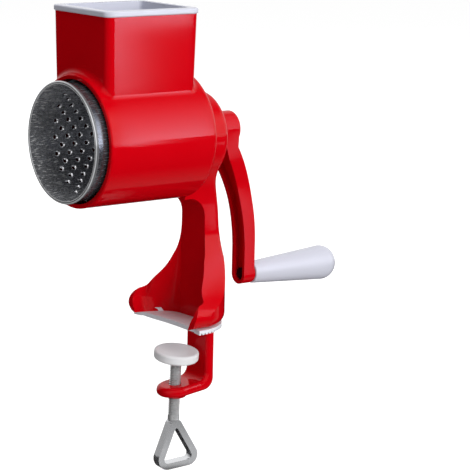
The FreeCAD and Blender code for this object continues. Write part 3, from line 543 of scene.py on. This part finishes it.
def cell_edge():
    """The points round a cell: X from its centre, and the share of half a row's angle."""
    half = HOLE_PITCH / 2
    step = HOLE_PITCH / CELL_STEPS
    edge = [(half, 0.0), (half, 0.5)]
    edge += [(half - step * n, 1.0) for n in range(CELL_STEPS)]
    edge += [(-half, 1.0 - 0.5 * n) for n in range(4)]
    edge += [(-half + step * n, -1.0) for n in range(CELL_STEPS)]
    edge += [(half, -1.0), (half, -0.5)]
    return edge


def torn_edge(angle, number):
    """How far the numbered hole's edge stands out at the angle."""
    return sum(height * math.sin(waves * angle + shift * number) for height, waves, shift in TEARS)


def add_crater(mesh, center_x, center_angle, number):
    """One cell of the sheet, from its rectangular edge down to its hole."""
    edge = [(center_x + x, center_angle + share * ROW_HALF_ANGLE) for x, share in cell_edge()]
    count = len(edge)
    outer = [mesh.verts.new(sleeve_point(x, a, 0)) for x, a in edge]
    inner = [mesh.verts.new(sleeve_point(x, a, -DRUM_SHEET)) for x, a in edge]
    loops = [(outer, inner)]
    for radius, outer_lift, inner_lift in CRATER_RINGS:
        outer = []
        inner = []
        for angle in (math.tau * n / count for n in range(count)):
            torn = 0.0
            if radius == HOLE_RADIUS:
                torn = torn_edge(angle, number)
            x = center_x + radius * math.cos(angle)
            a = center_angle + radius * math.sin(angle) / DRUM_RADIUS
            outer.append(mesh.verts.new(sleeve_point(x, a, outer_lift + torn)))
            inner.append(mesh.verts.new(sleeve_point(x, a, inner_lift + torn)))
        loops.append((outer, inner))
    for ring in range(1, len(loops)):
        outer, inner = loops[ring - 1]
        next_outer, next_inner = loops[ring]
        for index in range(count):
            after = (index + 1) % count
            mesh.faces.new((outer[index], outer[after], next_outer[after], next_outer[index]))
            flank = mesh.faces.new((inner[after], inner[index], next_inner[index], next_inner[after]))
            if ring >= PAINTED_HIGHLIGHT_FROM:
                flank.material_index = PAINTED_HIGHLIGHT_SLOT
    outer, inner = loops[-1]
    for index in range(count):
        after = (index + 1) % count
        mesh.faces.new((outer[index], outer[after], inner[after], inner[index]))


def add_plain(mesh, start_x, end_x, center_angle, divisions):
    """A plain stretch of one row of the sheet, outside and inside."""
    angles = [center_angle + ROW_HALF_ANGLE * share for share in ROW_SHARES]
    places = steps(start_x, end_x, divisions + 1)
    for lift in (0, -DRUM_SHEET):
        grid = [[mesh.verts.new(sleeve_point(x, a, lift)) for a in angles] for x in places]
        for row, next_row in zip(grid, grid[1:]):
            for index in range(len(angles) - 1):
                corners = (row[index], next_row[index], next_row[index + 1], row[index + 1])
                mesh.faces.new(corners if lift == 0 else corners[::-1])


def drum_sleeve():
    mesh = bmesh.new()
    half = HOLE_PITCH / 2
    first_x = DRUM_FRONT_X + HOLE_MARGIN - half
    back_x = DRUM_FRONT_X + DRUM_LENGTH
    count = int((DRUM_LENGTH - HOLE_MARGIN) / HOLE_PITCH)
    last_x = first_x + HOLE_PITCH * (count + 1)
    number = 0
    for row in range(HOLE_ROWS):
        angle = math.tau / HOLE_ROWS * (row - 0.5)
        odd = row % 2
        add_plain(mesh, DRUM_FRONT_X + DRUM_RIM_LIP, first_x, angle, FRONT_DIVISIONS)
        add_plain(mesh, last_x, back_x, angle, 1)
        if odd:
            add_plain(mesh, first_x, first_x + half, angle, HALF_CELL_DIVISIONS)
            add_plain(mesh, last_x - half, last_x, angle, HALF_CELL_DIVISIONS)
        for cell in range(count + 1 - odd):
            add_crater(mesh, first_x + half + half * odd + cell * HOLE_PITCH, angle, number)
            number += 1
    bmesh.ops.remove_doubles(mesh, verts=mesh.verts, dist=WELD_DISTANCE)
    smoothed(mesh)
    piece = meshed("drum_sheet", mesh, [DRUM_STEEL, CRATER_HIGHLIGHT_STEEL])
    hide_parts("drum_sleeve")
    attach(piece, "drum")


# The rolled rim, as places behind the drum's front and radii
RIM_WIDTH = 2.6
RIM_RADIUS = 40.3
RIM_SIDES = 192
BEAD_STEPS = 13
RIM_SEAM = [
    (DRUM_RIM_LIP, DRUM_RADIUS - DRUM_SHEET),
    (0.12, DRUM_RADIUS - DRUM_SHEET),
    (0, DRUM_RADIUS - 0.48),
    (0, DRUM_RADIUS - 0.15),
    (0.12, DRUM_RADIUS),
    (0.5, DRUM_RADIUS + 0.18),
]
RIM_BACK = [(RIM_WIDTH, DRUM_RADIUS), (DRUM_RIM_LIP, DRUM_RADIUS)]


def rim_profile():
    """The sheet's edge, a seam and a round bead."""
    bead = RIM_WIDTH / 2
    turns = [math.pi * (step + 1) / BEAD_STEPS for step in range(BEAD_STEPS)]
    crest = [(bead - bead * math.cos(t), RIM_RADIUS - bead + bead * math.sin(t)) for t in turns]
    return RIM_SEAM + crest + RIM_BACK


def drum_rim():
    profile = rim_profile()
    mesh = bmesh.new()
    rings = []
    for step in range(RIM_SIDES):
        angle = math.tau * step / RIM_SIDES
        ring = []
        for along, radius in profile:
            y = radius * math.cos(angle)
            z = BARREL_AXIS_Z + radius * math.sin(angle)
            ring.append(mesh.verts.new(Vector((DRUM_FRONT_X + along, y, z)) * MM))
        rings.append(ring)
    for ring, after in zip(rings, rings[1:] + rings[:1]):
        for index in range(len(profile)):
            following = (index + 1) % len(profile)
            mesh.faces.new((ring[index], ring[following], after[following], after[index]))
    smoothed(mesh)
    piece = meshed("drum_rim", mesh, [RIM_CHROME])
    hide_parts("drum_rim_ring")
    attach(piece, "drum")


# Floor, light and reflections

FLOOR_REACH = 8
FLOOR_GAP = 0.5
FLOOR_SHADE = 0.5
FLOOR_GLOW = 0.84
# The lit strip that gloss shows before the object, over Y
FRONT_STRIP_EDGE = (-0.036, -0.044)
FRONT_STRIP_FADE = (-0.08, -0.22)
FRONT_STRIP_LEVEL = 0.45
# The lit floor that gloss shows behind the object, over Y and X
BACK_FLOOR_Y = (0.35, 0.6)
BACK_FLOOR_X = (-0.2, 0.2)

WORLD_LEVEL = 0.26
# The room that gloss shows, over directions: X + Y for the first two, then X, Y and Z of one patch
ROOM_BEHIND = (0.3, 0.85)
ROOM_LEFT_FRONT = (-0.62, -0.9)
PATCH_X = (0.3, 0.45)
PATCH_Y = (-0.1, -0.3)
PATCH_BOTTOM = (-0.10, -0.03)
PATCH_TOP = (0.75, 0.55)
PATCH_LEVEL = 2.6


def seen_directly(tree, glossy_level, camera_level=1.0):
    """One level for the camera, one for gloss and glass, and none for light that falls on things."""
    path = tree.nodes.new("ShaderNodeLightPath")
    glossy_or_through = [path.outputs["Is Glossy Ray"], path.outputs["Is Transmission Ray"]]
    mirrored = combined(tree, "MAXIMUM", glossy_or_through)
    lit = combined(tree, "MULTIPLY", [mirrored, glossy_level])
    shown = ramp(tree, path.outputs["Is Camera Ray"], 0, 1, 0, camera_level)
    return combined(tree, "MAXIMUM", [shown, lit])


def floor_material():
    """White to the camera but for shadows. Gloss shows it lit before and behind the object."""
    material = bpy.data.materials.new("floor")
    tree, surface = emptied(material, "ShaderNodeOutputMaterial")
    matte = tree.nodes.new("ShaderNodeBsdfDiffuse")
    matte.inputs["Color"].default_value = (FLOOR_SHADE, FLOOR_SHADE, FLOOR_SHADE, 1)
    x, y, _ = split(tree, "Object")
    front_edge = ramp(tree, y, *FRONT_STRIP_EDGE, 0, FRONT_STRIP_LEVEL)
    front_fade = ramp(tree, y, *FRONT_STRIP_FADE, 1, 0)
    front = combined(tree, "MULTIPLY", [front_edge, front_fade])
    back = combined(tree, "MULTIPLY", [ramp(tree, y, *BACK_FLOOR_Y), ramp(tree, x, *BACK_FLOOR_X)])
    emission = tree.nodes.new("ShaderNodeEmission")
    strength = seen_directly(tree, combined(tree, "ADD", [front, back]), FLOOR_GLOW)
    tree.links.new(strength, emission.inputs["Strength"])
    dark = tree.nodes.new("ShaderNodeEmission")
    dark.inputs["Strength"].default_value = 0
    base = tree.nodes.new("ShaderNodeMixShader")
    path = tree.nodes.new("ShaderNodeLightPath")
    tree.links.new(path.outputs["Is Glossy Ray"], base.inputs[0])
    tree.links.new(matte.outputs[0], base.inputs[1])
    tree.links.new(dark.outputs[0], base.inputs[2])
    both = tree.nodes.new("ShaderNodeAddShader")
    tree.links.new(base.outputs[0], both.inputs[0])
    tree.links.new(emission.outputs[0], both.inputs[1])
    tree.links.new(both.outputs[0], surface)
    return material


def floor():
    """A floor under the bow's lowest place."""
    mesh = bmesh.new()
    low_z = cad_bounds[0].z - (SCREW_DROP + FLOOR_GAP) * MM
    corners = [(-1, -1), (1, -1), (1, 1), (-1, 1)]
    mesh.faces.new([mesh.verts.new((x * FLOOR_REACH, y * FLOOR_REACH, low_z)) for x, y in corners])
    piece = meshed("floor", mesh, [floor_material()])


def surroundings():
    """White behind the object, for the camera and in gloss, and a dim room on the camera's side."""
    world = bpy.data.worlds.new("studio")
    bpy.context.scene.world = world
    tree, surface = emptied(world, "ShaderNodeOutputWorld")
    background = tree.nodes.new("ShaderNodeBackground")
    background.inputs["Color"].default_value = (1, 1, 1, 1)
    x, y, z = split(tree, "Generated")
    away = combined(tree, "ADD", [x, y])
    patch = [ramp(tree, x, *PATCH_X, 0, PATCH_LEVEL), ramp(tree, y, *PATCH_Y)]
    patch += [ramp(tree, z, *PATCH_BOTTOM), ramp(tree, z, *PATCH_TOP)]
    mirrored = [ramp(tree, away, *ROOM_BEHIND), ramp(tree, away, *ROOM_LEFT_FRONT)]
    mirrored.append(combined(tree, "MULTIPLY", patch))
    seen = seen_directly(tree, combined(tree, "ADD", mirrored))
    always = tree.nodes.new("ShaderNodeValue")
    always.outputs[0].default_value = 1
    falling = ramp(tree, seen_directly(tree, always.outputs[0]), 0, 1, WORLD_LEVEL, 0)
    tree.links.new(combined(tree, "ADD", [seen, falling]), background.inputs["Strength"])
    tree.links.new(background.outputs["Background"], surface)


# Each lamp's place, width in metres and power in watts
LAMPS = {
    "front": ((0.0, -2.3, 0.9), 1.2, 43),
    "top": ((-0.2, -0.4, 2.2), 1.4, 17),
    "back": ((0.3, 2.0, 1.2), 1.4, 16),
}
LAMP_TARGET = Vector((0, 0, 0.08))


def lamps():
    for name, (location, width, power) in LAMPS.items():
        data = bpy.data.lights.new(name, "AREA")
        data.shape = "RECTANGLE"
        data.size = width
        data.size_y = width
        data.energy = power
        piece = linked(name, data)
        piece.location = location
        piece.rotation_euler = (LAMP_TARGET - Vector(location)).to_track_quat("-Z", "Y").to_euler()
        piece.visible_glossy = False


# Soft boxes that only gloss shows

CARD_DISTANCE = 0.6
CARD_COLOR = (0.95, 0.98, 1.2, 1)


def card(name, rows):
    """A soft box. Each sample is a point and normal that mirror it to the camera, and a level."""
    eye = bpy.context.scene.camera.matrix_world.translation
    mesh = bmesh.new()
    glow = mesh.verts.layers.float.new("glow")
    grid = []
    for row in rows:
        verts = []
        for point, normal, level in row:
            point = Vector(point) * MM
            mirrored = (point - eye).normalized().reflect(Vector(normal).normalized())
            vert = mesh.verts.new(point + mirrored * CARD_DISTANCE)
            vert[glow] = level
            verts.append(vert)
        grid.append(verts)
    for row, next_row in zip(grid, grid[1:]):
        for index in range(len(row) - 1):
            mesh.faces.new((row[index], row[index + 1], next_row[index + 1], next_row[index]))
    material = bpy.data.materials.new(name)
    tree, surface = emptied(material, "ShaderNodeOutputMaterial")
    emission = tree.nodes.new("ShaderNodeEmission")
    level = tree.nodes.new("ShaderNodeAttribute")
    level.attribute_name = "glow"
    emission.inputs["Color"].default_value = CARD_COLOR
    tree.links.new(level.outputs["Fac"], emission.inputs["Strength"])
    tree.links.new(emission.outputs[0], surface)
    piece = meshed(name, mesh, [material])
    piece.visible_camera = False
    piece.visible_diffuse = False
    piece.visible_shadow = False
    piece.visible_transmission = False


def hopper_card(half_length, low_z, high_z, peak, fall):
    """The bright panel in the hopper's near side, strongest at its left."""
    normal = (0, -1, -HOPPER_DRAFT)
    rows = []
    for z in steps(low_z, high_z, 6):
        y = -HOPPER_HALF_WIDTH + HOPPER_DRAFT * (HOPPER_TOP_Z - z)
        row = []
        for share in steps(0, 1, 9):
            x = HOPPER_CENTER_X + half_length * (2 * share - 1)
            row.append(((x, y, z), normal, peak * (1 - share) ** fall))
        rows.append(row)
    card("hopper_card", rows)


def side_card(name, y, start_x, end_x, low_z, high_z, peak):
    """A soft patch on a flat side that faces the front, brightest along its middle."""
    across = list(zip(steps(start_x, end_x, 7), steps(0.05, 0.95, 7)))
    rows = []
    for z in steps(low_z, high_z, 6):
        rows.append([((x, y, z), (0, -1, 0), peak * math.sin(math.pi * share)) for x, share in across])
    card(name, rows)


def band_card(name, radius, first_angle, last_angle, start_x, end_x, peak, fall):
    """A band along a barrel or hub of the radius, brightest at its first angle."""
    rows = []
    for share in steps(0, 1, 16):
        angle = math.radians(first_angle + (last_angle - first_angle) * share)
        normal = (0, -math.cos(angle), math.sin(angle))
        y = radius * normal[1]
        z = BARREL_AXIS_Z + radius * normal[2]
        level = peak * (1 - share) ** fall
        rows.append([((x, y, z), normal, level) for x in steps(start_x, end_x, 6)])
    card(name, rows)


def cards():
    hopper_card(half_length=31.8, low_z=166, high_z=209.5, peak=8.5, fall=2.9)
    band_card(
        "upper_card",
        BARREL_RADIUS,
        first_angle=3,
        last_angle=50,
        start_x=-79.5,
        end_x=-6,
        peak=12,
        fall=2.2,
    )
    band_card(
        "hub_card",
        HUB_RADIUS,
        first_angle=4,
        last_angle=60,
        start_x=24,
        end_x=42,
        peak=5,
        fall=1.0,
    )
    side_card("column_card", COLUMN_SIDE_Y, start_x=12, end_x=26, low_z=55, high_z=112, peak=3.4)
    side_card("crank_card", CRANK_SIDE_Y, start_x=36, end_x=64, low_z=24, high_z=118, peak=2.6)


bpy.context.scene.view_settings.view_transform = "Standard"
color_nodes()
round_bow_edges()
drum_sleeve()
drum_rim()
make_camera()
floor()
surroundings()
lamps()
cards()
